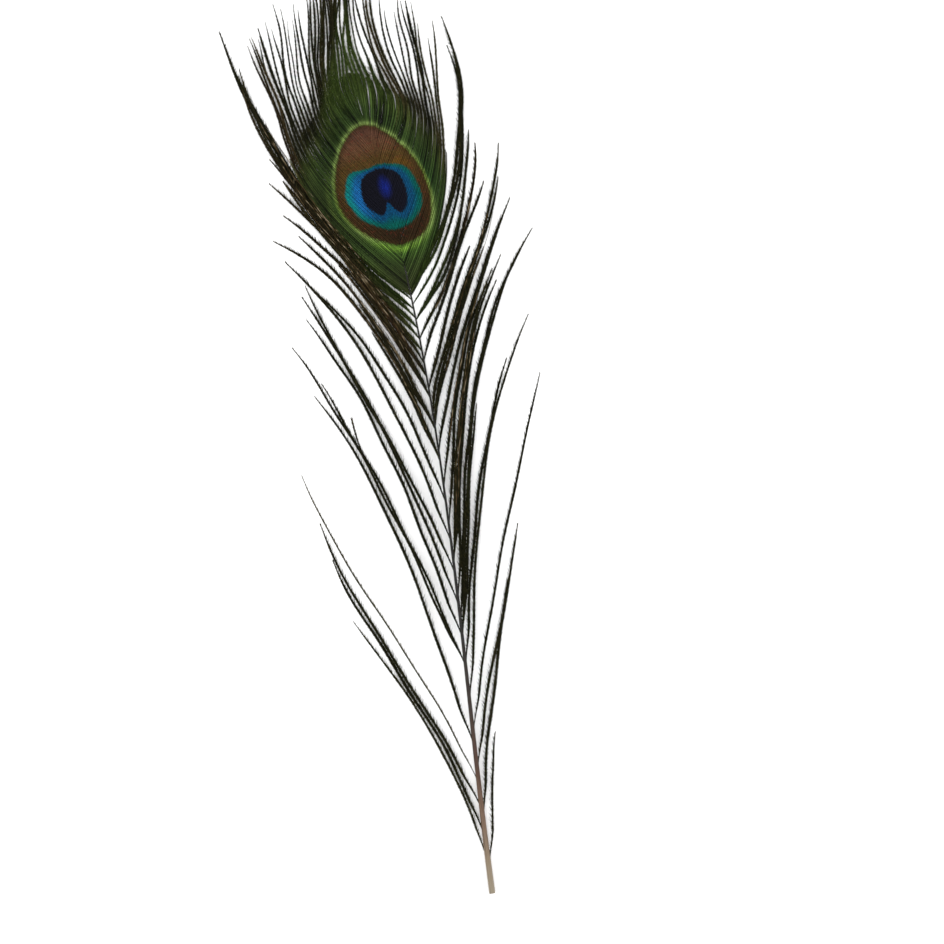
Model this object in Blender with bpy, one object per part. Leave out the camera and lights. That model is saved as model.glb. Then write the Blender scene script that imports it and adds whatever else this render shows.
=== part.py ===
"""A peacock's eye feather, cut about 30 cm from its tip and lying on a table with its good side up.

It is one shaft with barbs growing from both sides. Round the eye the barbs knit into one vane on each
side of the shaft. Everywhere else they cling together in locks, and every lock is a piece of its own.
Lengths are in millimetres and angles in degrees until they reach a mesh, which is in metres.
"""

import math
from collections import namedtuple

import bmesh
import bpy
from mathutils import Vector

MM = 0.001
GAP = 0.3  # air between pieces that touch on the real feather

# The shaft runs along +Y from the cut end of the quill, which is at Y 0.
SHAFT_LENGTH = 246.0
SHAFT_ENDS = (0.7, -2.9)  # where its two ends stand in X
SHAFT_LEANS = (-1.0, 9.5)  # how far it leans to -X at each end
ARCH_LENGTH = 186.0  # the stretch below the eye that stands clear of the table
ARCH_HEIGHT = 3.5
QUILL_RADIUS = 1.0
TIP_RADIUS = 0.24
TAPER = 2.2  # above 1 the shaft thins fast above the quill, and slowly towards its tip
SHAFT_STATIONS = 36
GROOVE = 0.3  # depth of the groove along the underside, as a share of the radius

# The outline of the eye's vane: distance from the quill's end, then how far the vane reaches
# from the line of the shaft on the left and on the right
Row = namedtuple("Row", "along left right")
VANE_OUTLINE = [
    Row(194, 2.5, 2.0),
    Row(198, 5.0, 4.5),
    Row(204, 8.0, 8.5),
    Row(210, 10.5, 12.0),
    Row(216, 15.0, 15.0),
    Row(222, 19.0, 17.5),
    Row(228, 22.0, 20.0),
    Row(234, 24.0, 21.0),
    Row(240, 25.0, 21.5),
    Row(245, 19.5, 20.0),
    Row(250, 13.5, 16.5),
    Row(255, 9.0, 9.0),
    Row(260, 3.5, 4.0),
    Row(262, 1.0, 1.0),
]
VANE_INNER_HEIGHT = 0.9
VANE_OUTER_HEIGHT = 0.45

# Locks of barbs
LOCK_STATIONS = 15
LOCK_HEIGHT = 0.46
ROOT_WIDTH = 0.5
BARB_WIDTH = 0.3  # each barb adds this much to the width of its lock
LAYER = 0.85  # every other lock lies this much higher, over its neighbours
TIP_SHARE = 0.3  # width and height left at the tip
TENSION = 0.95  # length of the curve's end tangents beside its chord

# A lock leaves its root and ends at its tip at these angles, outwards from +Y. The root is a distance
# up the shaft. The tip is a distance out to the side and a distance from the quill's end.
Lock = namedtuple("Lock", "root out along leave curl barbs")
LEFT_LOCKS = [
    Lock(11, 29.7, 91, 2, 28, 2),
    Lock(19, 33, 111, 6, 14, 2),
    Lock(28, 35.8, 123, 14, 12, 2),
    Lock(36, 39, 139, 12, 12, 1),
    Lock(48, 31.2, 163, 9, 30, 2),
    Lock(73, 36, 179, 13, 28, 4),
    Lock(82, 30, 187, 10, 30, 3),
    Lock(92, 30.5, 194.5, 9, 26, 3),
    Lock(102, 29.6, 197.5, 10, 16, 2),
    Lock(112, 34.3, 206, 10, 40, 3),
    Lock(124, 27, 196, 9, 42, 2),
    Lock(137, 36.3, 214, 8, 54, 3),
    Lock(147, 29.3, 213, 12, 42, 2),
    Lock(157, 32.7, 220.5, 14, 48, 3),
    Lock(166, 35.7, 231, 20, 43, 3),
    Lock(174, 35.3, 238, 30, 36, 4),
    Lock(181, 39.8, 268, 34, 4, 4),
    Lock(187, 43.5, 281, 42, 10, 4),
]
RIGHT_LOCKS = [
    Lock(9, 10, 50, 6, 16, 2),
    Lock(24, 20, 97, 4, 12, 2),
    Lock(40, 26, 114, 9, 14, 2),
    Lock(52, 39, 160, 12, 18, 2),
    Lock(62, 39, 178.5, 9, 34, 2),
    Lock(73, 30, 166, 8, 24, 2),
    Lock(84, 44.5, 205, 8, 42, 4),
    Lock(94, 31, 190.5, 8, 34, 3),
    Lock(105, 33, 198.5, 8, 34, 4),
    Lock(117, 27.5, 190, 9, 34, 3),
    Lock(129, 38.6, 215.5, 10, 30, 3),
    Lock(140, 35, 209.5, 12, 28, 3),
    Lock(150, 38, 233, 8, 8, 4),
    Lock(160, 24, 202.5, 20, 30, 3),
    Lock(169, 31.2, 222, 21, 26, 3),
    Lock(176, 30, 234.5, 32, 2, 3),
    Lock(182, 28.5, 238.5, 40, 4, 3),
    Lock(187, 26.5, 266, 42, -14, 3),
    Lock(191, 25.4, 275, 40, -18, 5),
]

# These grow on past the vane's outline. The root is on the outline of the side named, at its distance
# from the quill's end, and out is always to the left.
CROWN_LOCKS = [
    ("left", Lock(239, 37, 283, 12, 20, 5)),
    ("left", Lock(242, 33.5, 286, 12, 14, 4)),
    ("left", Lock(244, 29.5, 288, 14, 6, 4)),
    ("left", Lock(246, 25.5, 289, 12, 4, 4)),
    ("left", Lock(248, 21.8, 289, 12, 2, 3)),
    ("left", Lock(250, 18, 290, 10, -2, 3)),
    ("left", Lock(252.5, 15, 296, 2, 4, 5)),
    ("left", Lock(255, 11.5, 298, 0, 2, 5)),
    ("left", Lock(257.5, 8, 301, 0, 2, 5)),
    ("left", Lock(260, 4.6, 300, -2, 2, 5)),
    ("right", Lock(260, 3, 298, 16, 0, 4)),
    ("right", Lock(255, -0.8, 295, 22, -8, 3)),
    ("right", Lock(252, -4.5, 294, 20, -14, 6)),
    ("right", Lock(250.5, -8.5, 288, 12, -8, 4)),
    ("right", Lock(248.5, -12.5, 286, 6, -10, 4)),
    ("right", Lock(246, -15.2, 285, 4, -2, 3)),
    ("right", Lock(242, -17.8, 282, 2, -2, 3)),
    ("right", Lock(236, -21.5, 277.5, -6, 4, 3)),
]

HORN = ("quill horn", (0.36, 0.24, 0.14), 0.4)
EYE_GREEN = ("eye vane", (0.05, 0.09, 0.02), 0.5)
HERL = ("herl", (0.02, 0.022, 0.01), 0.6)


def smooth(share):
    """0 to 1 with level ends, as share goes from 0 to 1."""
    share = min(1.0, max(0.0, share))
    return share * share * (3 - 2 * share)


def shaft_radius(along):
    share = along / SHAFT_LENGTH
    return TIP_RADIUS + (QUILL_RADIUS - TIP_RADIUS) * (1 - share) ** TAPER


def shaft_side(along):
    """Where the shaft stands in X, and the vane's own line beyond the shaft's tip."""
    share = along / SHAFT_LENGTH
    slopes = [-math.tan(math.radians(lean)) * SHAFT_LENGTH for lean in SHAFT_LEANS]
    return hermite(SHAFT_ENDS[0], slopes[0], SHAFT_ENDS[1], slopes[1], share)


def shaft_point(along):
    """The shaft's centre, at this distance from the quill's end."""
    arch = ARCH_HEIGHT * math.sin(math.pi * min(1.0, along / ARCH_LENGTH)) ** 2
    return Vector((shaft_side(along), along, arch + shaft_radius(along)))


def vane_edge(side, along):
    """The point of the vane's outline at this distance from the quill's end."""
    for low, high in zip(VANE_OUTLINE, VANE_OUTLINE[1:]):
        if along <= high.along:
            break
    share = (along - low.along) / (high.along - low.along)
    reach = getattr(low, side) * (1 - share) + getattr(high, side) * share
    sign = -1 if side == "left" else 1
    return Vector((shaft_side(along) + sign * reach, along, 0.0))


def heading(angle):
    """The direction in the table's plane that leans this far from +Y towards -X."""
    return Vector((-math.sin(math.radians(angle)), math.cos(math.radians(angle)), 0.0))


def hermite(start, start_tangent, end, end_tangent, share):
    square, cube = share * share, share**3
    return (
        start * (2 * cube - 3 * square + 1)
        + start_tangent * (cube - 2 * square + share)
        + end * (3 * square - 2 * cube)
        + end_tangent * (cube - square)
    )


def material(name, colour, roughness):
    made = bpy.data.materials.get(name) or bpy.data.materials.new(name)
    made.use_nodes = True
    shader = made.node_tree.nodes["Principled BSDF"]
    shader.inputs["Base Color"].default_value = (*colour, 1.0)
    shader.inputs["Roughness"].default_value = roughness
    shader.inputs["Metallic"].default_value = 0.0
    return made


def skin(name, rings, finish, feather):
    """One closed solid through rings of points that match, with a flat cap at each end."""
    place = sum(rings[0], Vector()) / len(rings[0])
    mesh = bpy.data.meshes.new(name)
    build = bmesh.new()
    loops = [[build.verts.new((point - place) * MM) for point in ring] for ring in rings]
    around = len(rings[0])
    for near, far in zip(loops, loops[1:]):
        for i in range(around):
            j = (i + 1) % around
            build.faces.new((near[i], near[j], far[j], far[i]))
    build.faces.new(reversed(loops[0]))
    build.faces.new(loops[-1])
    bmesh.ops.recalc_face_normals(build, faces=build.faces)
    build.to_mesh(mesh)
    build.free()
    made = bpy.data.objects.new(name, mesh)
    made.data.materials.append(material(*finish))
    made.location = place * MM
    made.parent = feather
    bpy.context.scene.collection.objects.link(made)
    return made


def shaft_ring(along):
    """The shaft's section: round above, flatter at the sides, and grooved along the underside."""
    radius = shaft_radius(along)
    section = [(90 - 36 * step, 1.0) for step in range(4)]  # clockwise from the top
    section += [(-66, 1.0), (-90, 1 - GROOVE), (-114, 1.0)]
    section += [(-162 - 36 * step, 1.0) for step in range(3)]
    centre = shaft_point(along)
    floor = radius * math.sin(math.radians(66))  # the two lips beside the groove rest on the table
    ring = []
    for angle, share in section:
        turn = math.radians(angle)
        offset = Vector((math.cos(turn), 0.0, math.sin(turn))) * radius * share
        offset.z = max(offset.z, -floor) + floor - radius
        ring.append(centre + offset)
    return ring


def make_shaft(feather):
    steps = SHAFT_STATIONS - 1
    rings = [shaft_ring(SHAFT_LENGTH * i / steps) for i in range(SHAFT_STATIONS)]
    shaft = skin("shaft", rings, HORN, feather)
    shaft.data.shade_smooth()
    shaft.data.set_sharp_from_angle(angle=math.radians(50))


def make_vane(side, feather):
    """Half of the eye: a thin plate from the shaft out to the outline, flat below and sloping above."""
    sign = -1 if side == "left" else 1
    rings = []
    for row in VANE_OUTLINE:
        clear = shaft_radius(min(SHAFT_LENGTH, row.along)) + GAP
        inner = Vector((shaft_side(row.along) + sign * clear, row.along, 0.0))
        outer = vane_edge(side, row.along)
        raised_inner = inner + Vector((0.0, 0.0, VANE_INNER_HEIGHT))
        raised_outer = outer + Vector((0.0, 0.0, VANE_OUTER_HEIGHT))
        rings.append([inner, outer, raised_outer, raised_inner])
    skin(f"eye_vane_{side}", rings, EYE_GREEN, feather)


def lock_path(start, lock, sign, tip):
    """Points along a lock, as far above the table as its root stands, coming down to lie on it."""
    chord = (tip - start).length * TENSION
    tangents = [heading(sign * angle) * chord for angle in (lock.leave, lock.curl)]
    return [
        hermite(start, tangents[0], tip, tangents[1], i / (LOCK_STATIONS - 1))
        for i in range(LOCK_STATIONS)
    ]


def make_lock(name, start, lock, sign, layer, feather):
    """A flat tapering lock with a roof-shaped section. sign is 1 where out is to the left."""
    rest = LAYER * layer
    tip = Vector((-sign * lock.out, lock.along, 0.0))
    level = Vector((start.x, start.y, 0.0))
    path = lock_path(level, lock, sign, tip)
    full = ROOT_WIDTH + BARB_WIDTH * lock.barbs
    rings = []
    for i, point in enumerate(path):
        share = i / (LOCK_STATIONS - 1)
        taper = 1 - (1 - TIP_SHARE) * smooth((share - 0.55) / 0.45)
        wide = (ROOT_WIDTH + (full - ROOT_WIDTH) * smooth(share / 0.35)) * taper
        high = LOCK_HEIGHT * taper
        before, after = path[max(0, i - 1)], path[min(LOCK_STATIONS - 1, i + 1)]
        ahead = (after - before).normalized()
        across = Vector((ahead.y, -ahead.x, 0.0)) * wide / 2
        up = Vector((0.0, 0.0, high / 2))
        lift = max(0.0, start.z - rest - LOCK_HEIGHT / 2) * (1 - smooth(share / 0.8)) + rest
        centre = Vector((point.x, point.y, lift + high / 2))
        rings.append([centre - across, centre + up, centre + across, centre - up])
    skin(name, rings, HERL, feather)


def make_shaft_locks(side, locks, feather):
    sign = 1 if side == "left" else -1
    for number, lock in enumerate(locks, 1):
        start = shaft_point(lock.root)
        start.x -= sign * (shaft_radius(lock.root) + GAP + ROOT_WIDTH / 2)
        make_lock(f"lock_{side}_{number:02d}", start, lock, sign, number % 2, feather)


def make_crown_locks(feather):
    for number, (side, lock) in enumerate(CROWN_LOCKS, 1):
        sign = -1 if side == "left" else 1
        start = vane_edge(side, lock.root) + Vector((sign * GAP, 0.0, 0.0))
        start += heading(lock.leave) * (GAP + ROOT_WIDTH)
        make_lock(f"lock_crown_{number:02d}", start, lock, 1, number % 2, feather)


def centre_on_origin(feather):
    """Puts the world's origin under the middle of the whole feather, on the table."""
    bpy.context.view_layer.update()
    corners = [
        piece.matrix_world @ Vector(corner)
        for piece in feather.children
        for corner in piece.bound_box
    ]
    for axis in (0, 1):
        values = [corner[axis] for corner in corners]
        feather.location[axis] = -(min(values) + max(values)) / 2


def main():
    for old in list(bpy.data.objects):
        bpy.data.objects.remove(old)
    feather = bpy.data.objects.new("feather", None)
    bpy.context.scene.collection.objects.link(feather)
    make_shaft(feather)
    for side, locks in (("left", LEFT_LOCKS), ("right", RIGHT_LOCKS)):
        make_vane(side, feather)
        make_shaft_locks(side, locks, feather)
    make_crown_locks(feather)
    centre_on_origin(feather)


main()
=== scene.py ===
import math

import bpy
import numpy as np
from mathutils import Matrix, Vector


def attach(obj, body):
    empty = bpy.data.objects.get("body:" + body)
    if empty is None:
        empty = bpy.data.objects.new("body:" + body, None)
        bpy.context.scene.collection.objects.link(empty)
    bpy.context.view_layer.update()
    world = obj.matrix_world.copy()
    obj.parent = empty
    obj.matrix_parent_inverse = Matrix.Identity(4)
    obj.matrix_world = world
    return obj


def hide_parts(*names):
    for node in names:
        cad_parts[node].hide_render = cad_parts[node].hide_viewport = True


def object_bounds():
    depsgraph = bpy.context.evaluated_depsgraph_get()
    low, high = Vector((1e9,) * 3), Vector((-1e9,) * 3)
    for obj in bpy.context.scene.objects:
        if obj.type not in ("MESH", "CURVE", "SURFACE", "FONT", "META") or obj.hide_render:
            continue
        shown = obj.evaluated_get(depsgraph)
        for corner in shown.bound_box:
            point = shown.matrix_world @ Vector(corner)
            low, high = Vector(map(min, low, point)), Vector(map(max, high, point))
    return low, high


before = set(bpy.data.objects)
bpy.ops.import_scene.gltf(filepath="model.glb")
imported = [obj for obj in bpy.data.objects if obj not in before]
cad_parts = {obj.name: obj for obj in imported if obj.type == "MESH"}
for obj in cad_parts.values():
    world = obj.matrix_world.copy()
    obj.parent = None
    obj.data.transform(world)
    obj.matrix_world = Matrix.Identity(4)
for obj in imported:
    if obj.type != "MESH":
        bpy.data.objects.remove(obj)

cadBox = [list(corner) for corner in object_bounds()]
mm = 0.001  # everything below is in millimetres until it reaches a mesh, a lamp or the camera

# The feather lies along +Y with its quill towards -Y and its good side up. "along" is always the
# distance from the cut end of the quill. A barb is one strand that grows from the shaft, and barbules
# are the fine hairs on both sides of a barb.


def nodePoints(name):
    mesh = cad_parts[name].data
    points = np.zeros(len(mesh.vertices) * 3)
    mesh.vertices.foreach_get("co", points)
    return np.unique(np.round(points.reshape(-1, 3) / mm, 4), axis=0)


def sections(points, ahead, gap=1.0):
    # splits points into rings that lie apart from each other in the direction ahead
    reach = points @ ahead
    order = np.argsort(reach)
    cuts = np.where(np.diff(reach[order]) > gap)[0] + 1
    return np.split(points[order], cuts)


def readShaft():
    rings = sections(nodePoints("shaft"), np.array([0.0, 1.0, 0.0]))
    return dict(
        y=np.array([ring[:, 1].mean() for ring in rings]),
        x=np.array([(ring[:, 0].min() + ring[:, 0].max()) / 2 for ring in rings]),
        top=np.array([ring[:, 2].max() for ring in rings]),
        radius=np.array([np.ptp(ring[:, 0]) / 2 for ring in rings]),
    )


def readLock(name):
    # the middle line of a lock from its root to its tip, and its greatest width
    points = nodePoints(name)
    chord = points[points[:, 1].argmax()] - points[points[:, 1].argmin()]
    rings = sections(points, chord / np.linalg.norm(chord))
    middles = np.array([(ring.min(axis=0) + ring.max(axis=0)) / 2 for ring in rings])
    widths = [np.linalg.norm(np.ptp(ring[:, :2], axis=0)) for ring in rings]
    return dict(line=middles, width=max(widths))


shaftLine = readShaft()
quillEnd = shaftLine["y"][0]


def shaftAt(along):
    # the shaft's middle in X, its top and its radius; past its tip the line runs straight on
    y = np.asarray(along, float) + quillEnd
    last = shaftLine["y"][-1]
    lean = (shaftLine["x"][-1] - shaftLine["x"][-2]) / (last - shaftLine["y"][-2])
    x = np.interp(y, shaftLine["y"], shaftLine["x"]) + lean * np.maximum(0, y - last)
    top = np.interp(y, shaftLine["y"], shaftLine["top"])
    radius = np.interp(y, shaftLine["y"], shaftLine["radius"])
    return x, top, radius


def smooth(share):
    # 0 below 0, 1 above 1, smooth between them
    share = np.clip(share, 0, 1)
    return share * share * (3 - 2 * share)


def ease(value, low, high):
    # the same between any two values
    return smooth((value - low) / (high - low))


def blend(low, high, share):
    # low at 0, high at 1
    return low + (high - low) * share


def hermite(start, startPull, end, endPull, share):
    share = np.asarray(share)[..., None]
    square, cube = share**2, share**3
    return (
        start * (2 * cube - 3 * square + 1)
        + startPull * (cube - 2 * square + share)
        + end * (3 * square - 2 * cube)
        + endPull * (cube - square)
    )


def lengthsAlong(line):
    return np.concatenate([[0], np.cumsum(np.linalg.norm(np.diff(line, axis=0), axis=1))])


def smoothLine(points, step):
    # a smooth curve through the points, read at even steps
    reach = lengthsAlong(points)
    slopes = np.gradient(points, reach, axis=0)
    count = max(5, int(reach[-1] / step) + 1)
    places = np.linspace(0, 1, count) * reach[-1]
    after = np.clip(np.searchsorted(reach, places), 1, len(reach) - 1)
    span = reach[after] - reach[after - 1]
    share = (places - reach[after - 1]) / span
    pull = span[:, None]
    return hermite(
        points[after - 1], slopes[after - 1] * pull, points[after], slopes[after] * pull, share
    )


def heading(angle):
    # the level direction that leans this many degrees from +Y towards -X
    turn = np.radians(angle)
    return np.stack([-np.sin(turn), np.cos(turn), np.zeros_like(turn)], axis=-1)


def directions(line):
    # the unit vectors ahead and to the right at every point of a line, both level with the table
    ahead = np.gradient(line, axis=0)
    ahead[:, 2] = 0
    ahead /= np.linalg.norm(ahead, axis=1)[:, None]
    right = np.stack([ahead[:, 1], -ahead[:, 0], np.zeros(len(line))], axis=1)
    return ahead, right


def intoScene(thing):
    bpy.context.scene.collection.objects.link(thing)
    return thing


class Tuft:
    # gathers many small closed bodies into one mesh, with numbers for the shader at each point

    def __init__(self):
        self.points, self.faces, self.marks = [], [], {}
        self.count = 0

    def add(self, points, faces, marks):
        self.points.append(points)
        self.faces.append(faces + self.count)
        self.count += len(points)
        for name, values in marks.items():
            self.marks.setdefault(name, []).append(np.broadcast_to(values, len(points)))

    def addRibbon(self, line, right, wide, high, marks):
        # a closed strip with a roof-shaped section above and below. Its edge mark is 1 at both sides,
        # 0 on the upper ridge and 0.6 on the lower one
        count = len(line)
        up = np.array([0.0, 0.0, 1.0]) * np.broadcast_to(high, count)[:, None] / 2
        side = right * np.broadcast_to(wide, count)[:, None] / 2
        points = np.stack([line - side, line + up, line + side, line - up], axis=1).reshape(-1, 3)
        near = np.arange(count - 1)[:, None] * 4 + np.arange(4)
        beside = np.arange(count - 1)[:, None] * 4 + (np.arange(4) + 1) % 4
        walls = np.concatenate(
            [
                np.stack([near, near + 4, beside + 4], axis=-1).reshape(-1, 3),
                np.stack([near, beside + 4, beside], axis=-1).reshape(-1, 3),
            ]
        )
        last = (count - 1) * 4
        caps = np.array([[0, 1, 2], [0, 2, 3], [last, last + 2, last + 1], [last, last + 3, last + 2]])
        marks = {name: np.repeat(np.broadcast_to(value, count), 4) for name, value in marks.items()}
        marks["edge"] = np.tile([1.0, 0.0, 1.0, 0.6], count)
        self.add(points, np.concatenate([walls, caps]), marks)

    def addSpikes(self, roots, ahead, length, base, marks):
        # closed three-sided spikes; their edge mark runs from 0 at the root to 1 at the tip
        count = len(roots)
        across = np.cross(ahead, [0.0, 0.0, 1.0])
        across *= base / 2 / np.linalg.norm(across, axis=1)[:, None]
        up = np.array([0.0, 0.0, base * 0.6])
        tips = roots + ahead * length[:, None]
        points = np.stack([roots - across, roots + across, roots + up, tips], axis=1).reshape(-1, 3)
        shape = np.array([[0, 1, 2], [0, 3, 1], [1, 3, 2], [2, 3, 0]])
        faces = (np.arange(count)[:, None, None] * 4 + shape).reshape(-1, 3)
        marks = {name: np.repeat(np.broadcast_to(value, count), 4) for name, value in marks.items()}
        marks["edge"] = np.tile([0.0, 0.0, 0.0, 1.0], count)
        self.add(points, faces, marks)

    def build(self, name, finish, slot, *nodes):
        points, faces = np.concatenate(self.points) * mm, np.concatenate(self.faces)
        mesh = bpy.data.meshes.new(name)
        mesh.vertices.add(len(points))
        mesh.vertices.foreach_set("co", points.astype(np.float32).ravel())
        mesh.loops.add(faces.size)
        mesh.loops.foreach_set("vertex_index", faces.astype(np.int32).ravel())
        mesh.polygons.add(len(faces))
        mesh.polygons.foreach_set("loop_start", np.arange(0, faces.size, 3, dtype=np.int32))
        mesh.update(calc_edges=True)
        mesh.validate()
        for mark, values in self.marks.items():
            kept = mesh.attributes.new(mark, "FLOAT", "POINT")
            kept.data.foreach_set("value", np.concatenate(values).astype(np.float32))
        mesh.shade_smooth()
        mesh.materials.append(finish)
        piece = intoScene(bpy.data.objects.new(name, mesh))
        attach(piece, "root")
        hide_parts(*nodes)
        return len(faces)


colourScale = 0.7  # the studio lights the floor to more than white, so colours are this much darker


def paint(red, green, blue):
    # a colour as it looks on a screen, 0 to 255, turned into the shader's own numbers
    shares = [value / 255 for value in (red, green, blue)]
    linear = [s / 12.92 if s <= 0.04045 else ((s + 0.055) / 1.055) ** 2.4 for s in shares]
    return [value * colourScale for value in linear] + [1.0]


class Wire:
    # a socket that takes part in sums

    def __init__(self, recipe, socket):
        self.recipe, self.socket = recipe, socket

    def sum(self, operation, *values):
        return self.recipe.node("ShaderNodeMath", {"operation": operation}, dict(enumerate(values)))

    def __add__(self, other):
        return self.sum("ADD", self, other)

    def __radd__(self, other):
        return self.sum("ADD", other, self)

    def __sub__(self, other):
        return self.sum("SUBTRACT", self, other)

    def __rsub__(self, other):
        return self.sum("SUBTRACT", other, self)

    def __mul__(self, other):
        return self.sum("MULTIPLY", self, other)

    def __rmul__(self, other):
        return self.sum("MULTIPLY", other, self)

    def __truediv__(self, other):
        return self.sum("DIVIDE", self, other)


class Recipe:
    # one material and its nodes

    def __init__(self, name, **uniform):
        self.material = bpy.data.materials.new(name)
        self.material.use_nodes = True
        self.tree = self.material.node_tree
        self.shader = self.tree.nodes["Principled BSDF"]
        for socket, value in uniform.items():
            self.shader.inputs[socket.replace("_", " ")].default_value = value

    def node(self, kind, settings=None, values=None, output=0):
        made = self.tree.nodes.new(kind)
        settings = dict(settings or {})
        stops = settings.pop("stops", None)
        owner = made.color_ramp if stops else made
        for name, value in settings.items():
            setattr(owner, name, value)
        for number, (place, colour) in enumerate(stops or []):
            fresh = number > 1
            stop = owner.elements.new(place) if fresh else owner.elements[number]
            stop.position, stop.color = place, colour
        for name, value in (values or {}).items():
            self.feed(made.inputs[name], value)
        return Wire(self, made.outputs[output])

    def feed(self, socket, value):
        if isinstance(value, Wire):
            self.tree.links.new(value.socket, socket)
        else:
            socket.default_value = value

    def mark(self, name):
        return self.node("ShaderNodeAttribute", {"attribute_name": name}, output="Fac")

    def ramp(self, value, stops, interpolation="LINEAR"):
        return self.node(
            "ShaderNodeValToRGB", {"interpolation": interpolation, "stops": stops}, {0: value}
        )

    def mix(self, low, high, share, how="MIX"):
        settings = {"data_type": "RGBA", "blend_type": how}
        return self.node("ShaderNodeMix", settings, {0: share, 6: low, 7: high}, output=2)

    def rise(self, value, low, high):
        # 0 below low, 1 above high, smooth between them
        settings = {"interpolation_type": "SMOOTHSTEP"}
        return self.node("ShaderNodeMapRange", settings, {0: value, 1: low, 2: high})

    def noise(self, place, scale, detail=2.0):
        return self.node("ShaderNodeTexNoise", {}, {"Vector": place, "Scale": scale, "Detail": detail})

    def finish(self, **links):
        for name, value in links.items():
            self.feed(self.shader.inputs[name.replace("_", " ")], value)
        return self.material


eyeMarks = dict(
    along=222,  # the middle of the eye's marks
    side=-0.4,  # its distance to the right of the shaft's line
    lean=9,  # degrees that the marks lean to the left
    reach=30.0,  # the radius that a stop of 1 stands for
    bands=16.0,  # the same for the distance past the bronze
    bronzeHeight=44.0,  # length of the bronze oval's own range of colours
    speckle=2.6,  # noise scales, for each millimetre
    grain=0.9,
    wander=0.7,  # how far the edges wander
    weave=0.42,  # from one barbule to the next
    # edges as (degrees clockwise from the top, radius)
    bronze=[
        (0, 23.0), (15, 20.3), (30, 17.3), (45, 15.4), (60, 14.2), (75, 13.6), (90, 13.4), (105, 13.8),
        (120, 14.4), (135, 15.5), (150, 16.2), (180, 15.9), (195, 14.5), (210, 13.6), (240, 13.3),
        (270, 14.3), (285, 15.0), (300, 15.9), (315, 17.3), (330, 19.3), (345, 21.8),
    ],
    disc=[
        (0, 10.3), (30, 10.5), (50, 11.2), (75, 10.9), (90, 11.0), (110, 11.7), (150, 11.7), (180, 11.2),
        (210, 10.2), (240, 10.6), (270, 11.6), (285, 12.7), (300, 12.9), (315, 13.4), (322, 12.9),
        (330, 11.6), (345, 10.3),
    ],
    heart=[
        (0, 8.9), (15, 8.8), (45, 8.1), (75, 7.1), (90, 6.9), (120, 7.0), (135, 7.4), (150, 7.3),
        (157, 6.8), (163, 5.0), (170, 3.0), (180, 2.7), (190, 3.3), (196, 5.0), (203, 6.2), (225, 6.3),
        (255, 6.7), (285, 7.4), (300, 7.9), (315, 8.8), (330, 9.1), (345, 9.0),
    ],
)


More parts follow.
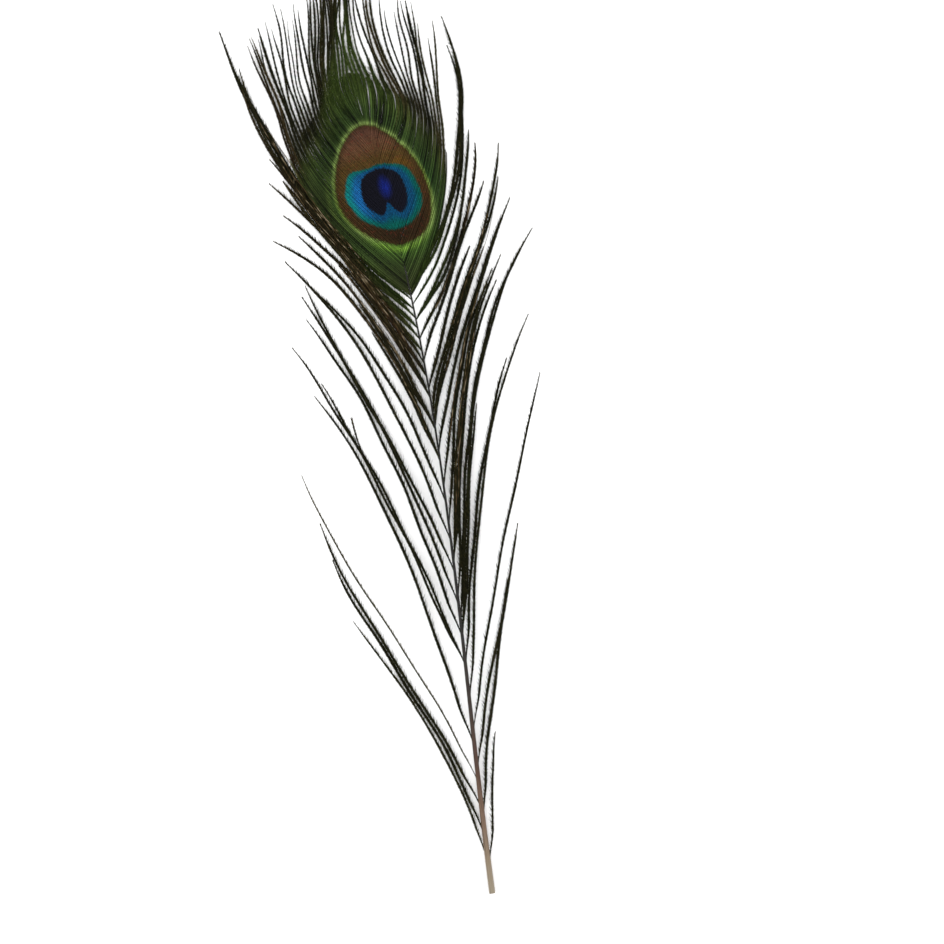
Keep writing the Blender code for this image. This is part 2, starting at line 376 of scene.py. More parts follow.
def eyeFinish():
    marks = eyeMarks
    eye = Recipe("eyeVane", Roughness=0.5, Specular_IOR_Level=0.06)
    u, v = eye.mark("eyeU"), eye.mark("eyeV")
    tone, edge, along = eye.mark("tone"), eye.mark("edge"), eye.mark("along")
    rim, outer = eye.mark("rim"), eye.mark("outer")
    place = eye.node("ShaderNodeCombineXYZ", {}, {0: u, 1: v})
    radius = eye.node("ShaderNodeVectorMath", {"operation": "LENGTH"}, {0: place}, output=1)
    turn = u.sum("ARCTAN2", u, v) / (2 * math.pi) + 0.5  # 0.5 at the top, 0 and 1 at the bottom

    def radiusAt(edges):
        # the edge's radius in the direction of each point
        stops = [((angle / 360 + 0.5) % 1, value / marks["reach"]) for angle, value in edges]
        bottom = dict(edges)[180] / marks["reach"]
        stops = [(0, bottom), (1, bottom)] + sorted(stop for stop in stops if stop[0] > 0)
        greys = [(place, (value, value, value, 1)) for place, value in stops]
        return eye.ramp(turn, greys, "CARDINAL") * marks["reach"]

    def aim(angle, spread):
        # 1 in this direction from the middle, down to 0 spread degrees to both sides
        away = turn.sum("WRAP", turn - (angle / 360 + 0.5) % 1, 0.5, -0.5)
        size = away.sum("ABSOLUTE", away)
        return 1 - eye.rise(size, 0, spread / 360)

    speckle, grain = eye.noise(place, marks["speckle"]), eye.noise(place, marks["grain"])
    out = radius + (speckle - 0.5) * marks["wander"]
    discRadius, heartRadius = radiusAt(marks["disc"]), radiusAt(marks["heart"])
    pastBronze = out - radiusAt(marks["bronze"])
    pastDisc = out - discRadius
    pastHeart = out - heartRadius

    # green, outside the bronze: a ring, then bands, by the distance past the bronze
    def band(*stops):
        bands = marks["bands"]
        return eye.ramp(pastBronze / bands, [(reach / bands, paint(*colour)) for reach, colour in stops])

    top = band(
        (0.0, (62, 48, 22)), (0.5, (98, 114, 56)), (1.0, (122, 146, 78)), (1.9, (66, 86, 40)),
        (3.0, (46, 64, 28)), (6.0, (50, 68, 30)), (8.5, (62, 80, 36)), (12.0, (58, 74, 32)),
        (16, (46, 56, 26)),
    )
    rightGreen = band(
        (0.0, (70, 50, 20)), (0.35, (84, 100, 38)), (0.8, (104, 126, 56)), (1.4, (46, 76, 34)),
        (2.1, (38, 60, 26)), (5.0, (46, 62, 28)), (8, (46, 56, 26)), (12, (34, 38, 18)),
    )
    leftGreen = band(
        (0.0, (60, 44, 18)), (0.4, (74, 86, 32)), (0.9, (90, 112, 46)), (1.7, (44, 64, 26)),
        (3.0, (64, 80, 34)), (4.2, (40, 52, 22)), (8, (44, 52, 24)), (12, (34, 36, 16)),
    )
    bottom = band(
        (0.0, (46, 34, 14)), (0.7, (76, 108, 38)), (1.6, (110, 150, 54)), (3.2, (66, 94, 38)),
        (6, (50, 66, 30)), (10, (48, 58, 28)), (16, (46, 52, 26)),
    )
    green = eye.mix(top, rightGreen, aim(80, 60))
    green = eye.mix(green, leftGreen, aim(270, 62))
    green = eye.mix(green, bottom, aim(183, 50))

    # the barbs turn dark towards the vane's sides
    dusky = eye.mix(paint(24, 27, 11), paint(80, 84, 42), tone * tone)
    green = eye.mix(green, dusky, (1 - eye.rise(rim, 2, 13)) * outer)

    # bronze: purplish at the top, golden over the disc, maroon below
    bronze = eye.ramp(
        v / marks["bronzeHeight"] + 0.5,
        [
            (0.0, paint(42, 32, 14)), (0.22, paint(46, 33, 17)), (0.45, paint(66, 46, 22)),
            (0.7, paint(84, 64, 28)), (0.78, paint(84, 63, 29)), (0.87, paint(100, 69, 46)),
            (1.0, paint(92, 61, 49)),
        ],
    )
    bronze = eye.mix(bronze, paint(98, 68, 20), aim(42, 22) * (1 - eye.rise(pastDisc, 0.5, 3)))
    bronze = eye.mix(bronze, paint(108, 48, 34), eye.rise(grain, 0.54, 0.7) * 0.5)
    dusk = eye.rise(pastBronze, -2.2, 0.2)
    bronze = eye.mix(bronze, paint(58, 42, 20), dusk * 0.7)

    # disc: blue inside, teal outside, a dark rim
    tealShare = eye.rise(pastHeart / (discRadius - heartRadius), 0.3, 0.85)
    blueSide = eye.mix(paint(10, 74, 112), paint(28, 106, 172), aim(280, 75))
    tealSide = eye.mix(paint(4, 92, 82), paint(14, 130, 128), aim(280, 80))
    disc = eye.mix(blueSide, tealSide, tealShare)
    border = eye.rise(pastDisc, -0.8, 0.1)
    disc = eye.mix(disc, paint(10, 62, 50), border * (0.35 + 0.5 * aim(180, 110)))

    # heart: near black, with a royal blue glow in its middle
    spot = eye.node("ShaderNodeCombineXYZ", {}, {0: u * 1.5 - 0.9, 1: v * 0.8 - 2.2})
    glow = eye.node("ShaderNodeVectorMath", {"operation": "LENGTH"}, {0: spot}, output=1)
    heart = eye.mix(paint(20, 36, 120), paint(17, 17, 28), eye.rise(glow, 0.2, 4.0))
    heart = eye.mix(heart, paint(14, 66, 120), eye.rise(pastHeart, -1.0, 0.3) * aim(180, 30))

    colour = eye.mix(bronze, green, eye.rise(pastBronze, -0.3, 0.4))
    colour = eye.mix(disc, colour, eye.rise(pastDisc, -0.35, 0.3))
    colour = eye.mix(heart, colour, eye.rise(pastHeart, -0.35, 0.35))

    # the barbs: each has its own tone, painted shade on its sides and underside that makes a dark gap
    # beside it, and a fine herringbone of barbules
    outside = eye.rise(pastBronze, -0.5, 2.5)
    weave = along.sum("SINE", (along + edge * 0.3) * (2 * math.pi / marks["weave"]))
    light = 1.15 + (tone - 0.5) * (0.5 + 1.7 * outside) + (speckle - 0.5) * 2.2 + weave * 0.14
    # painted shade: darker towards each barb's sides and its underside, most of all outside the bronze
    light = light * (1 - edge * edge * (0.4 + 0.5 * outside))
    toneAndPaintedShade = eye.node("ShaderNodeCombineColor", {}, {0: light, 1: light, 2: light})
    colour = eye.mix(colour, toneAndPaintedShade, 1.0, "MULTIPLY")
    bump = eye.node("ShaderNodeBump", {}, {"Strength": 0.25, "Distance": 0.00004, "Height": weave})
    return eye.finish(Base_Color=colour, Normal=bump)


def herlFinish():
    # near black with olive and brown in it; barbs that leave the eye are green at first
    herl = Recipe("herl", Roughness=0.6, Specular_IOR_Level=0.05)
    tone, green, rust = (herl.mark(name) for name in ("tone", "green", "rust"))

    def tones(*stops):
        return herl.ramp(tone, [(share, paint(*colour)) for share, colour in stops])

    # the paler stops also colour the painted highlight streaks
    dark = tones(
        (0.0, (8, 8, 4)), (0.28, (24, 24, 10)), (0.5, (50, 49, 24)), (0.75, (86, 78, 48)),
        (1.0, (165, 152, 122)),
    )
    leaf = tones((0.0, (18, 26, 8)), (0.4, (44, 58, 20)), (0.7, (78, 98, 40)), (1, (150, 160, 110)))
    earth = tones((0.0, (22, 12, 7)), (0.4, (54, 34, 22)), (0.7, (100, 72, 50)), (1, (170, 150, 125)))
    colour = herl.mix(dark, leaf, green)
    colour = herl.mix(colour, earth, rust)
    return herl.finish(Base_Color=colour)


def hornFinish():
    # the shaft: pale at the cut end, reddish brown, then near black
    horn = Recipe("quillHorn", Roughness=0.38, Specular_IOR_Level=0.35)
    place = horn.node("ShaderNodeTexCoord", output="Object")
    y = horn.node("ShaderNodeSeparateXYZ", {}, {0: place}, output=1)
    share = (y / mm - quillEnd) / 100  # the colours change over the first 100 mm
    stretch = horn.node("ShaderNodeMapping", {}, {"Vector": place, "Scale": (2600, 90, 2600)})
    streaks = horn.noise(stretch, 1.0, 3.0)
    colour = horn.ramp(
        share + (streaks - 0.5) * 0.2,
        [
            (0.0, paint(158, 146, 126)), (0.1, paint(146, 128, 104)), (0.22, paint(126, 100, 80)),
            (0.38, paint(82, 54, 38)), (0.6, paint(50, 36, 26)), (0.8, paint(22, 18, 12)),
            (1, paint(16, 14, 9)),
        ],
    )
    colour = horn.mix(colour, paint(30, 20, 12), horn.rise(streaks, 0.52, 0.75) * 0.5)
    bump = horn.node("ShaderNodeBump", {}, {"Strength": 0.3, "Distance": 0.00005, "Height": streaks})
    return horn.finish(Base_Color=colour, Normal=bump)


barbSettings = dict(
    step=1.3,  # between sections of a barb's own strip
    high=0.2,
    ramus=0.34,  # width of the barb's own shaft, as a share of the whole barb's
    ramusLeast=0.12,
    ramusLift=0.03,
    ramusTone=0.55,  # its tone, as a share of the barbules'
    mat=0.62,  # width of the barbules that lie so close that they make a sheet, as a share too
    matHigh=0.12,
    matSpread=0.12,  # how much that width varies
    shift=0.13,  # how far the mat lies towards the longer barbules, as a share of the width
    shade=0.07,  # how much the tone varies along a barb
    barbuleBase=0.22,
    barbuleEvery=0.24,
    barbuleFrom=0.3,  # from the root to the first barbule
    barbuleStray=0.12,
    barbuleLean=(22, 44),  # degrees from the barb's own direction
    barbuleRise=(-0.06, 0.16),  # slope, down and up
    barbuleTone=0.12,
    barbuleSpread=(0.85, 1.15),
    barbuleLimits=(0.05, 3.2),
    lopsided=0.17,  # the share of the width that the longer barbules take from the other side
    otherRagged=0.35,  # raggedness of the other side, as a share
    tooth=(0.9, 2.3),  # lengths over which barbules cling together in a tooth
    toothGrow=(-0.35, 0.75),  # how much shorter and longer they are at its two ends
)


def growBarb(tuft, line, rng, wide, tone, green, rust, inner, ragged):
    # one barb along a line: its shaft, a mat of barbules close to it and loose barbules at both edges.
    # wide is the barb's whole width and, like tone, green and rust, may vary along the line. inner is
    # 1 where the barb's right side has the longer barbules, -1 where its left side has, 0 for neither.
    # ragged is how far the teeth stand out
    settings = barbSettings
    ahead, right = directions(line)
    count = len(line)
    reach = lengthsAlong(line)
    wide, tone, green, rust = (np.broadcast_to(value, count) for value in (wide, tone, green, rust))
    teeth = rng.uniform(*settings["tooth"], int(reach[-1] / settings["tooth"][0]) + 2)
    teeth = np.concatenate([[0], np.cumsum(teeth)])
    shade = rng.normal(0, settings["shade"], count)
    body = line + right * (inner * wide * settings["shift"])[:, None]
    mat = wide * settings["mat"] * (1 + rng.normal(0, settings["matSpread"], count))
    marks = dict(tone=tone + shade, green=green, rust=rust)
    tuft.addRibbon(body, right, mat, settings["matHigh"], marks)
    ramus = np.maximum(settings["ramusLeast"], wide * settings["ramus"])
    marks = dict(tone=tone * settings["ramusTone"] + shade * 0.5, green=green * 0.8, rust=rust)
    tuft.addRibbon(line + [0, 0, settings["ramusLift"]], right, ramus, settings["high"], marks)
    places = np.arange(settings["barbuleFrom"], reach[-1], settings["barbuleEvery"])
    along = (*line.T, *ahead.T[:2], wide, tone, green, rust)
    for side in (-1, 1):
        stray = rng.uniform(-settings["barbuleStray"], settings["barbuleStray"], len(places))
        at = np.clip(places + stray, 0, reach[-1])
        x, y, z, aheadX, aheadY, full, hue, leafy, rusty = (np.interp(at, reach, row) for row in along)
        lean = np.radians(rng.uniform(*settings["barbuleLean"], len(at))) * side
        way = np.stack(
            [
                aheadX * np.cos(lean) + aheadY * np.sin(lean),
                aheadY * np.cos(lean) - aheadX * np.sin(lean),
                rng.uniform(*settings["barbuleRise"], len(at)),
            ],
            axis=1,
        )
        tooth = np.searchsorted(teeth, at)
        inTooth = (at - teeth[tooth - 1]) / (teeth[tooth] - teeth[tooth - 1])
        loose = ragged if side == inner or inner == 0 else ragged * settings["otherRagged"]
        half = 0.5 + settings["lopsided"] * side * inner
        length = full * half / np.sin(np.abs(lean)) * (1 + loose * blend(*settings["toothGrow"], inTooth))
        length = length * rng.uniform(*settings["barbuleSpread"], len(at))
        length = np.clip(length, *settings["barbuleLimits"])
        hue = np.clip(hue + rng.normal(0, settings["barbuleTone"], len(at)), 0, 1)
        marks = dict(tone=hue, green=leafy, rust=rusty)
        tuft.addSpikes(np.stack([x, y, z], axis=1), way, length, settings["barbuleBase"], marks)


def ripple(rng, reach, high, long):
    # a gentle sideways wave along a barb, with its height and length drawn from these ranges
    return rng.uniform(*high) * np.sin(reach / rng.uniform(*long) + rng.uniform(0, 6.3))


shaftLocks = dict(
    left=18,
    right=19,
    seed=dict(left=1000, right=3000),
    # pairs are for the lower and the upper part of the feather
    busy=(120, 150),  # where along the shaft the upper part begins
    barbWide=(0.95, 1.1),  # of a lock's CAD width, what each of its barbs takes
    full=(1.3, 1.4),  # a whole barb's width
    pitch=(0.75, 0.95),  # between neighbouring barbs of a lock
    widens=(14, 7),  # the length over which a barb reaches its whole width
    gather=(12, 17),  # the length over which a barb joins its lock
    gatherMore=2.5,  # and for each millimetre between its root and the lock's
    gatherMost=0.6,  # the most of the lock's length that it takes
    twin=4.2,  # between the roots of barbs that grow into one lock; every second barb shares a root
    leave=(0.5, 0.7),  # where barbs leave the shaft, in its radii: to the side, and down from its top
    ends=(0.84, 0.97),  # shares of a lock's length at which its barbs end; one of them is whole
    short=0.55,  # the same for its extra barbs
    shortSpread=(0.85, 1.3),
    closer=0.75,  # the pitch at a lock's tip, as a share
    stray=0.4,  # how far the tips stray, from strayFrom on
    strayFrom=0.7,
    waveHigh=(0.12, 0.3),
    waveLong=(4, 8),
    lift=(-0.05, 0.12),
    rootWide=0.38,  # a barb's width at its root, as a share
    tapers=((0.3, 0.55), (0.6, 0.9)),  # (share of the width lost by the tip, where the loss starts)
    ragged=1.3,
    tone=0.36,
    toneSpread=0.03,
    tipTone=0.16,
    tipFrom=0.88,
    greenEnds=(8, 38),  # distances from the root between which the green goes
    # locks that differ: rust is brown, pale is lighter, thin is narrower, more is extra barbs
    rust=dict(
        left_12=0.15, left_13=0.25, left_14=0.4, left_15=0.7, left_16=0.75, left_17=0.35, right_16=0.3
    ),
    pale=dict(left_01=0.1, left_04=0.28, right_01=0.1, left_15=0.08, left_16=0.12, left_17=0.08),
    thin=dict(
        left_04=0.5, left_06=0.85, left_01=0.8, right_01=0.8, right_18=0.75, right_04=0.8, right_05=0.9
    ),
    more=dict(
        left_12=1, left_13=1, left_14=1, left_15=2, left_16=2, left_17=2, left_18=1,
        right_07=1, right_13=1, right_17=1,
    ),
    green=dict(
        left_16=0.4, left_17=0.8, left_18=1.0, right_16=0.3, right_17=0.7, right_18=1.0, right_19=1.0
    ),
    clear=dict(left_18=0.7, left_17=0.5, right_19=0.4),  # moves a lock outwards, clear of the vane
)
streaks = dict(  # thin barbs on top of a lock, painted pale as a highlight where they catch the light
    counts=dict(
        left_12=2, left_13=3, left_14=3, left_15=5, left_16=5, left_17=4, left_18=2,
        right_09=2, right_11=1, right_13=2, right_16=2,
    ),
    start=(0.12, 0.35),  # shares of the lock's length
    end=(0.5, 0.8),
    wide=0.2,
    wideSpread=(0.6, 1.3),
    high=0.12,
    lift=0.22,
    wave=0.2,
    # the painted highlight's tone, and how patchy it is
    tone=0.68,
    patchy=0.28,
    rust=0.45,
)
spurs = dict(  # short barbs that stand off a lock
    # where it leaves, as a share of the lock's length; its heading at the tip; its own length
    locks=dict(left_06=dict(leave=0.62, angle=4.0, reach=15.0)),
    steps=12,
    turn=4,  # times the angle, at the root
    lift=0.2,
    wide=(0.5, 0.75),
    tone=(0.3, 0.65),
    rust=0.2,
)


def lockRoots(locks):
    # where each lock's barbs leave the shaft: evenly spread, but close together lower down
    roots = np.array([lock["root"] for lock in locks])
    middles = (roots[1:] + roots[:-1]) / 2
    low = np.concatenate([[roots[0] - (middles[0] - roots[0])], middles])
    high = np.concatenate([middles, [roots[-1] + (roots[-1] - middles[-1])]])
    for i, lock in enumerate(locks):
        count = (lock["barbs"] + 1) // 2
        places = (np.arange(lock["barbs"]) // 2 + 0.5) / count - 0.5
        spread = min(high[i] - low[i], shaftLocks["twin"] * count)
        lock["roots"] = (roots[i] + places * spread)[::-1]


def readShaftLocks(side):
    settings = shaftLocks
    locks = []
    for number in range(1, settings[side] + 1):
        lock = readLock(f"lock_{side}_{number:02d}")
        lock["key"] = f"{side}_{number:02d}"
        lock["seed"] = settings["seed"][side] + number
        lock["root"] = lock["line"][0, 1] - quillEnd
        lock["upper"] = ease(lock["root"], *settings["busy"])
        lock["whole"] = max(1, round(lock["width"] / blend(*settings["barbWide"], lock["upper"])))
        lock["barbs"] = lock["whole"] + settings["more"].get(lock["key"], 0)
        locks.append(lock)
    lockRoots(locks)
    return locks


def addHighlightStreak(tuft, line, right, rng, across):
    settings = streaks
    first = int(rng.uniform(*settings["start"]) * len(line))
    last = int(rng.uniform(*settings["end"]) * len(line))
    right = right[first:last]
    shift = rng.uniform(-0.5, 0.5) * across
    strip = line[first:last] + right * shift + [0, 0, settings["lift"]]
    strip = strip + right * (settings["wave"] * np.sin(np.arange(last - first) / 2.3))[:, None]
    # painted highlight: the strip's pale, patchy tone stands for light caught on top of the lock
    highlightTones = np.clip(rng.normal(settings["tone"], settings["patchy"], len(strip)), 0.1, 1.0)
    wide = settings["wide"] * rng.uniform(*settings["wideSpread"])
    marks = dict(tone=highlightTones, green=0.0, rust=settings["rust"])
    tuft.addRibbon(strip, right, wide, settings["high"], marks)


def addSpur(tuft, line, rng, leave, angle, reach):
    settings = spurs
    count = settings["steps"]
    share = np.linspace(0, 1, count)
    ways = heading(np.linspace(angle * settings["turn"], angle, count))
    spur = line[int(leave * len(line))] + [0, 0, settings["lift"]] + np.cumsum(ways, axis=0) * reach / count
    wide, tone = blend(*settings["wide"], share), blend(*settings["tone"], share**3)
    growBarb(tuft, spur, rng, wide, tone, 0.0, settings["rust"], 0, 1.0)


def buildShaftLocks(side, finish):
    settings = shaftLocks
    sign = -1 if side == "left" else 1
    locks = readShaftLocks(side)
    faces = 0
    for lock in locks:
        rng = np.random.default_rng(lock["seed"])
        tuft = Tuft()
        line = smoothLine(lock["line"], barbSettings["step"])
        right = directions(line)[1]
        length = lengthsAlong(line)[-1]
        share = np.linspace(0, 1, len(line))
        key, barbs, whole, upper = (lock[name] for name in ("key", "barbs", "whole", "upper"))
        full = blend(*settings["full"], upper) * settings["thin"].get(key, 1.0)
        pitch = blend(*settings["pitch"], upper)
        ends = rng.uniform(*settings["ends"], barbs)
        ends[rng.integers(whole)] = 1.0
        ends[whole:] = settings["short"] * rng.uniform(*settings["shortSpread"], barbs - whole)
        for i, root in enumerate(lock["roots"]):
            x, top, radius = shaftAt(root)
            out, down = settings["leave"]
            start = np.array([x + sign * radius * out, root + quillEnd, top - radius * down])
            offset = (i - (whole - 1) / 2) * pitch * sign  # the extra barbs lie on the outside
            offset = offset + sign * settings["clear"].get(key, 0.0) * smooth(share * 3)
            stray = rng.normal(0, settings["stray"]) * ease(share, settings["strayFrom"], 1)
            offset = offset * blend(1.0, settings["closer"], smooth(share)) + stray
            wave = ripple(rng, share * length, settings["waveHigh"], settings["waveLong"])
            path = line + right * (offset + wave * smooth(share * 4))[:, None]
            gather = blend(*settings["gather"], upper) + abs(root - lock["root"]) * settings["gatherMore"]
            gather = min(settings["gatherMost"], gather / length)
            path = path + (start - path[0]) * (1 - smooth(share / gather))[:, None]
            path[:, 2] += rng.uniform(*settings["lift"]) * smooth(share * 4)
            path = path[: max(5, int(len(path) * ends[i]))]
            part = np.linspace(0, 1, len(path))
            widens = smooth(part * length / blend(*settings["widens"], upper))
            wide = full * blend(settings["rootWide"], 1.0, widens)
            for loss, begin in settings["tapers"]:
                wide = wide * (1 - loss * ease(part, begin, 1))
            tone = settings["tone"] + rng.normal(0, settings["toneSpread"])
            tone = tone + settings["pale"].get(key, 0.0)
            tone = tone + settings["tipTone"] * ease(part, settings["tipFrom"], 1)
            middle = 1 - abs(i - (barbs - 1) / 2) / max(1, barbs / 2)
            rust = settings["rust"].get(key, 0.0) * middle * smooth(part * 3)
            green = settings["green"].get(key, 0.0) * (1 - ease(part * length, *settings["greenEnds"]))
            growBarb(tuft, path, rng, wide, tone, green, rust, -sign, settings["ragged"])
        for _ in range(streaks["counts"].get(key, 0)):
            addHighlightStreak(tuft, line, right, rng, pitch * (barbs - 1) + full * 0.6)
        if key in spurs["locks"]:
            addSpur(tuft, line, rng, **spurs["locks"][key])
        faces += tuft.build(f"barbs_{key}", finish, "herl", f"lock_{key}")
    print(f"{side} locks: {sum(lock['barbs'] for lock in locks)} barbs, {faces} faces")


crown = dict(
    left=range(1, 11),  # crown locks from the outermost to the middle
    right=range(18, 10, -1),
    seed=dict(left=900, right=300),
    strandEvery=0.8,  # of a lock's CAD width, what each of its strands takes
    strandWide=1.1,
    pitchLeast=0.6,
    spread=1.1,  # the pitch at the tips, as a share
    spill=1.45,  # how far the middle locks' strands spread along the rim, to the vane's tip
    inside=12.0,  # how far the strands start inside the vane
    insideSpread=(0.7, 1.1),
    lift=0.12,  # how far they lie above it there
    overlap=1.05,  # strands at the rim, in distances between neighbours
    rimWide=2.2,  # the widest that they are there
    gather=0.55,  # the share of a lock's length over which its strands join it
    ends=(0.8, 1.0),
    stray=0.3,
    strayFrom=0.6,
    bendHigh=(0.3, 0.8),  # the wave that a whole lock shares
    bendLong=(7, 10),
    waveHigh=(0.1, 0.4),
    waveLong=(3, 7),
    wideSpread=(0.55, 1.2),
    taper=0.7,
    taperFrom=0.84,
    thinning=0.35,  # the share of its width that a strand may lose on its way
    ragged=0.6,
    tone=0.34,
    toneSpread=0.04,
    tipTone=0.12,
    greenTone=0.14,
    greenest=28.0,  # how far the green runs along the middle strands
    greenLeast=6.0,
    greenFrom=(10, -3),  # how far inside the rim it starts to go: at the sides, in the middle
    middleAt=255,  # where along the shaft its line marks the crown's middle
    middleWide=9.0,
    dense=dict(crown_01=0.6, crown_07=0.7, crown_08=0.6, crown_09=0.5, crown_10=0.4, crown_11=0.4),
    rust=dict(crown_01=0.55, crown_13=0.45, crown_15=0.2),
    pale=dict(
        crown_07=0.08, crown_08=0.12, crown_09=0.1, crown_10=0.1, crown_01=0.2, crown_11=0.1,
        crown_12=0.12, crown_13=0.22, crown_14=0.05, crown_17=0.2, crown_18=0.25,
    ),
    thin=dict(crown_03=0.85, crown_12=0.8, crown_17=0.8, crown_18=0.85, crown_05=0.8),
)
vane = dict(
    left=74,  # barbs in each half
    right=62,
    seed=dict(left=7, right=8),
    roots=(190.0, 246.0),  # the stretch of shaft that they grow from
    rootStray=0.1,
    tip=262.0,  # where the vane ends on the shaft's line
    first=-0.6,  # where the lowest barb ends, counted in crown locks from the outermost
    endStray=0.04,
    leave=(43.0, 7.0),  # degrees off the shaft at the lowest and the highest of them
    pull=(0.85, 1.0),  # how strongly both ends steer a barb, beside its length
    sections=100,
    hides=(197, 202),  # where along the shaft the vane starts to lie over it, and lies right over it
    shaftLeast=0.5,  # the least height that it keeps over the table there
    clears=0.12,  # and over the shaft
    lift=(0.75, 0.5),  # its height beside the shaft and at the outline
    side=(0.5, 0.8),  # the depths between which the vane's dark sides end
    slitLong=(8, 13),  # how far in from the rim the barbs part: near the tip, and at the sides
    slitWide=(0.75, 0.5),  # what is left of their width there
    slitSpread=(0.6, 1.2),
    overlap=1.1,
    wide=(0.2, 0.95),
    high=0.1,
    layer=0.05,  # every second barb lies this much higher
    layerStray=0.015,
    jitter=0.08,  # how far each barb moves the eye's marks along itself
    tone=0.17,
    pairTone=0.12,
)


def crownRoots(side):
    # the crown locks of one side, and the corners of the vane's outline where their strands leave it
    locks = []
    for number in crown[side]:
        key = f"crown_{number:02d}"
        lock = readLock(f"lock_{key}")
        lock["key"] = key
        every = crown["dense"].get(key, crown["strandEvery"])
        lock["barbs"] = max(2, round(lock["width"] / every))
        locks.append(lock)
    corners = [lock["line"][0] for lock in locks]
    ways = np.array([lock["line"][2] - lock["line"][0] for lock in locks])
    x, before = shaftAt(vane["tip"])[0], shaftAt(vane["tip"] - 1)[0]
    corners = np.array(corners + [[x, vane["tip"] + quillEnd, corners[-1][2]]])
    angles = np.degrees(np.arctan2(-ways[:, 0], ways[:, 1]))
    return locks, corners, np.append(angles, math.degrees(math.atan(before - x)))


def rimAt(corners, angles, place):
    # a point of the outline and the direction there; place counts locks from the outermost
    numbers = np.arange(len(corners))
    inner = np.clip(place, 0, numbers[-1])
    point = np.stack([np.interp(inner, numbers, corners[:, axis]) for axis in range(3)], axis=-1)
    point = point + np.minimum(place, 0)[..., None] * (corners[1] - corners[0])
    return point, np.interp(inner, numbers, angles)


def vaneDepth(places, side):
    # 0 for the lowest and outermost barb, 1 for the highest one beside the shaft
    return np.clip((places - vane["first"]) / (len(crown[side]) - vane["first"]), 0, 1)


def vaneLines(side, places, roots):
    # the barbs of one half as curves from the shaft to the outline, all read at the same shares
    settings = vane
    sign = 1 if side == "left" else -1
    ends, endAngles = rimAt(*crownRoots(side)[1:], places)
    x, top, radius = shaftAt(roots)
    covered = ease(roots, *settings["hides"])
    starts = np.stack([x - sign * radius * 0.8 * (1 - covered), roots + quillEnd, 0 * roots], axis=1)
    depth = (roots - settings["roots"][0]) / (settings["roots"][1] - settings["roots"][0])
    lean = np.degrees(np.arctan(-np.gradient(x, roots)))
    leave = lean + sign * blend(*settings["leave"], np.clip(depth, 0, 1) ** 0.7)
    ends = ends * [1, 1, 0]
    chord = np.linalg.norm(ends - starts, axis=1)[:, None]
    startPull = heading(leave) * chord * settings["pull"][0]
    endPull = heading(endAngles) * chord * settings["pull"][1]
    share = np.linspace(0, 1, settings["sections"])
    curves = [hermite(starts, startPull, ends, endPull, [s] * len(roots)) for s in share]
    lines = np.stack(curves, axis=1)
    above = np.maximum(top, settings["shaftLeast"]) + settings["clears"]
    inner = blend(top - radius * 0.6, np.maximum(above, settings["lift"][0]), covered)
    lines[:, :, 2] = blend(inner[:, None], settings["lift"][1], smooth(share)[None, :])
    return lines


def eyePlace(points):
    # the same points in the eye's own frame, in which its marks are drawn
    middle = np.array([shaftAt(eyeMarks["along"])[0] + eyeMarks["side"], eyeMarks["along"] + quillEnd])
    turn = math.radians(eyeMarks["lean"])
    x, y = points[..., 0] - middle[0], points[..., 1] - middle[1]
    return x * math.cos(turn) + y * math.sin(turn), y * math.cos(turn) - x * math.sin(turn)


def buildVane(side, finish):
    settings = vane
    rng = np.random.default_rng(settings["seed"][side])
    count = settings[side]
    depth = np.linspace(0, 1, count)
    places = blend(settings["first"], len(crown[side]), depth) + rng.normal(0, settings["endStray"], count)
    roots = blend(*settings["roots"], depth) + rng.normal(0, settings["rootStray"], count)
    lines = vaneLines(side, places, roots)
    tuft = Tuft()
    pairs = np.repeat(rng.normal(0, settings["pairTone"], count // 2 + 1), 2)[:count]
    tones = np.clip(0.5 + rng.normal(0, settings["tone"], count) + pairs, 0, 1)
    for i, line in enumerate(lines):
        ahead, right = directions(line)
        before, after = lines[max(0, i - 1)], lines[min(count - 1, i + 1)]
        apart = np.abs(((after - before) * right).sum(axis=1)) / (2 if 0 < i < count - 1 else 1)
        reach = lengthsAlong(line)
        rim = reach[-1] - reach
        outer = 1 - ease(depth[i], *settings["side"])
        slit = 1 - smooth(rim / blend(*settings["slitLong"], outer))
        slit = slit * rng.uniform(*settings["slitSpread"])
        wide = blend(settings["overlap"], blend(*settings["slitWide"], outer), slit)
        wide = np.clip(apart, *settings["wide"]) * wide + 0.05
        stray = rng.uniform(-settings["layerStray"], settings["layerStray"])
        lifted = line + [0, 0, settings["layer"] * (i % 2) + stray]
        u, v = eyePlace(line + ahead * rng.normal(0, settings["jitter"]))
        marks = dict(eyeU=u, eyeV=v, tone=tones[i], along=reach, rim=rim, outer=outer)
        tuft.addRibbon(lifted, right, wide, settings["high"], marks)
    faces = tuft.build(f"eye_barbs_{side}", finish, "eye vane", f"eye_vane_{side}")
    print(f"{side} half of the eye: {count} barbs, {faces} faces")


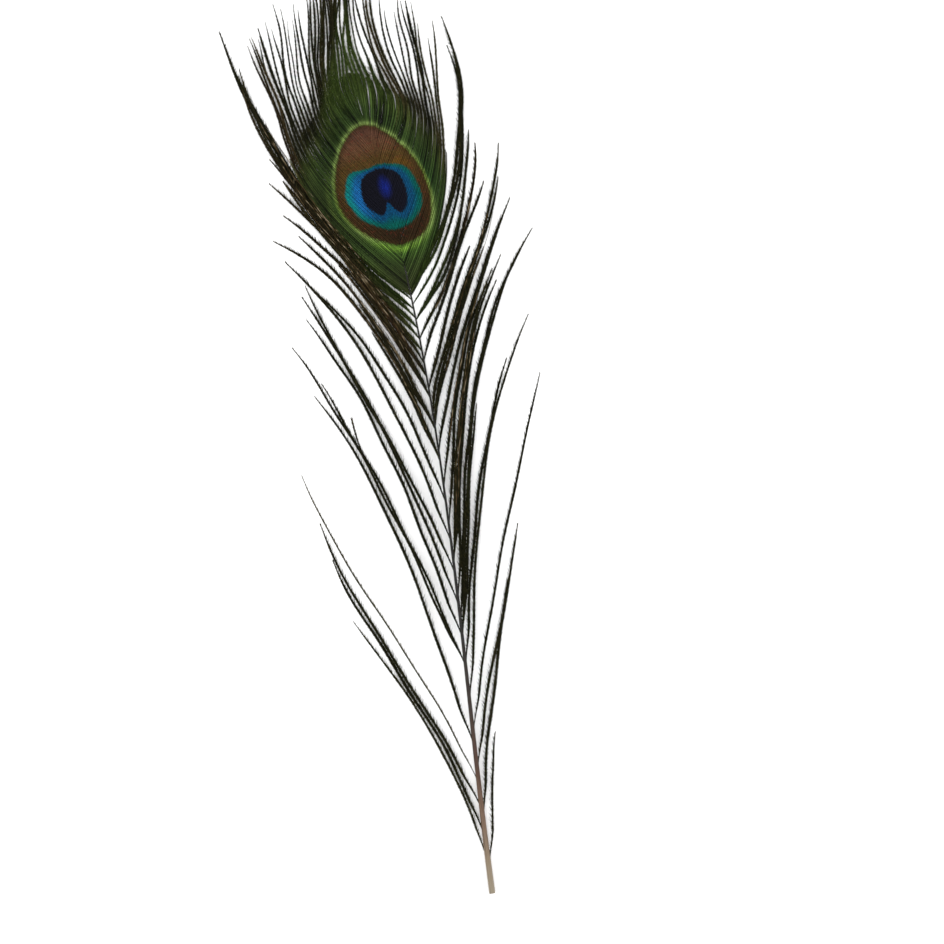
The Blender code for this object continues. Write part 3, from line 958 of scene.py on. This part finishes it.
def buildCrown(side, finish):
    settings = crown
    sign = 1 if side == "left" else -1
    locks = crownRoots(side)[0]
    faces = 0
    for number, lock in enumerate(locks):
        rng = np.random.default_rng(settings["seed"][side] + number)
        tuft = Tuft()
        line = smoothLine(lock["line"], 1.0)
        right = directions(line)[1]
        length = lengthsAlong(line)[-1]
        share = np.linspace(0, 1, len(line))
        key, barbs = lock["key"], lock["barbs"]
        full = settings["strandWide"] * settings["thin"].get(key, 1.0)
        pitch = max(settings["pitchLeast"], (lock["width"] + 0.5 - full * 0.6) / (barbs - 1))
        spill = settings["spill"] if number == len(locks) - 1 else 1.0
        places = number + ((np.arange(barbs) + 0.5) / barbs - 0.5) * spill + (spill - 1) / 2
        inner = vaneLines(side, places, blend(*vane["roots"], vaneDepth(places, side)))
        rims = inner[:, -1]
        ways = rims - inner[:, -2]
        ways /= np.linalg.norm(ways, axis=1)[:, None]
        steps = np.gradient(rims, axis=0)
        apart = np.abs(steps[:, 0] * ways[:, 1] - steps[:, 1] * ways[:, 0])
        bend = ripple(rng, share * length, settings["bendHigh"], settings["bendLong"])
        for i, rim in enumerate(rims):
            offset = (i - (barbs - 1) / 2) * pitch * sign
            stray = rng.normal(0, settings["stray"]) * ease(share, settings["strayFrom"], 1)
            offset = offset * blend(1.0, settings["spread"], smooth(share)) + stray
            wave = ripple(rng, share * length, settings["waveHigh"], settings["waveLong"])
            path = line + right * (offset + (wave + bend) * smooth(share * 3))[:, None]
            path = path + (rim - path[0]) * (1 - smooth(share / settings["gather"]))[:, None]
            path = path[: max(5, int(len(path) * rng.uniform(*settings["ends"])))]
            # the strand starts inside the vane, along the barb that it ends
            reach = lengthsAlong(inner[i])
            start = settings["inside"] * rng.uniform(*settings["insideSpread"])
            inside = inner[i][reach > reach[-1] - start][:-1] + [0, 0, settings["lift"]]
            whole = smoothLine(np.concatenate([inside, path]), 1.0)
            past = lengthsAlong(whole) - start  # distance past the rim
            part = np.linspace(0, 1, len(whole))
            near = np.clip(apart[i] * settings["overlap"], full * 0.8, settings["rimWide"])
            wide = blend(near, full, ease(past, -1, 13)) * ease(past, -start - 0.5, -2)
            wide = wide * (1 - settings["taper"] * ease(part, settings["taperFrom"], 1))
            wide = wide * blend(1.0, rng.uniform(*settings["wideSpread"]), ease(past, -1, 11))
            thinner = ease(past, length * 0.35, length * 0.85) * rng.uniform(0.2, 1.0)
            wide = wide * (1 - settings["thinning"] * thinner)
            aside = (rim[0] - shaftAt(settings["middleAt"])[0]) / settings["middleWide"]
            middle = math.exp(-(aside**2))
            goes = settings["greenLeast"] + settings["greenest"] * middle
            green = 1 - smooth((past + blend(*settings["greenFrom"], middle)) / goes)
            tone = settings["tone"] + rng.normal(0, settings["toneSpread"])
            tone = tone + settings["pale"].get(key, 0.0) * rng.uniform(0.3, 1.2)
            tone = tone + settings["greenTone"] * green + settings["tipTone"] * ease(part, 0.85, 1)
            rust = settings["rust"].get(key, 0.0) * rng.uniform(0.3, 1.0)
            growBarb(tuft, whole, rng, wide, tone, green, rust, 0, settings["ragged"])
        faces += tuft.build(f"barbs_{key}", finish, "herl", f"lock_{key}")
    print(f"{side} of the crown: {sum(lock['barbs'] for lock in locks)} strands, {faces} faces")


studio = dict(
    camera=(13.4, 132.0, 826.0),  # from the quill's end: to the right, along, and up
    roll=-8.55,
    lens=100.0,
    sees=(0.01, 10.0),  # metres
    floor=(0.98, 0.98, 0.98, 1.0),
    floorHalf=3.0,  # metres
    floorGap=0.03,
    sky=1.3,
    sun=0.5,
    sunAngle=30,
    sunTurn=(32, -14, 0),
)


def buildStudio():
    settings = studio
    camera = intoScene(bpy.data.objects.new("camera", bpy.data.cameras.new("camera")))
    camera.data.lens = settings["lens"]
    camera.data.clip_start, camera.data.clip_end = settings["sees"]
    right, along, up = settings["camera"]
    camera.location = [(shaftLine["x"][0] + right) * mm, (quillEnd + along) * mm, up * mm]
    camera.rotation_euler = (0, 0, math.radians(settings["roll"]))
    bpy.context.scene.camera = camera

    mesh = bpy.data.meshes.new("floor")
    half, low = settings["floorHalf"], cadBox[0][2] - settings["floorGap"] * mm
    corners = [(x * half, y * half, low) for x, y in ((-1, -1), (1, -1), (1, 1), (-1, 1))]
    mesh.from_pydata(corners, [], [(0, 1, 2, 3)])
    floor = intoScene(bpy.data.objects.new("floor", mesh))
    paper = Recipe("floorPaper", Roughness=0.9, Specular_IOR_Level=0.1)
    floor.data.materials.append(paper.finish(Base_Color=settings["floor"]))

    world = bpy.data.worlds.new("softLight")
    world.use_nodes = True
    sky = world.node_tree.nodes["Background"]
    sky.inputs["Color"].default_value = (1, 1, 1, 1)
    sky.inputs["Strength"].default_value = settings["sky"]
    bpy.context.scene.world = world
    sun = intoScene(bpy.data.objects.new("sun", bpy.data.lights.new("sun", "SUN")))
    sun.data.energy = settings["sun"]
    sun.data.angle = math.radians(settings["sunAngle"])
    sun.rotation_euler = [math.radians(angle) for angle in settings["sunTurn"]]
    bpy.context.scene.view_settings.view_transform = "Standard"
    print("studio: camera, floor, sky and sun")


buildStudio()
herl, eyeGreen = herlFinish(), eyeFinish()
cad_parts["shaft"].material_slots[0].material = hornFinish()
print("finishes: herl, eye and quill")
for side in ("left", "right"):
    buildShaftLocks(side, herl)
    buildVane(side, eyeGreen)
    buildCrown(side, herl)
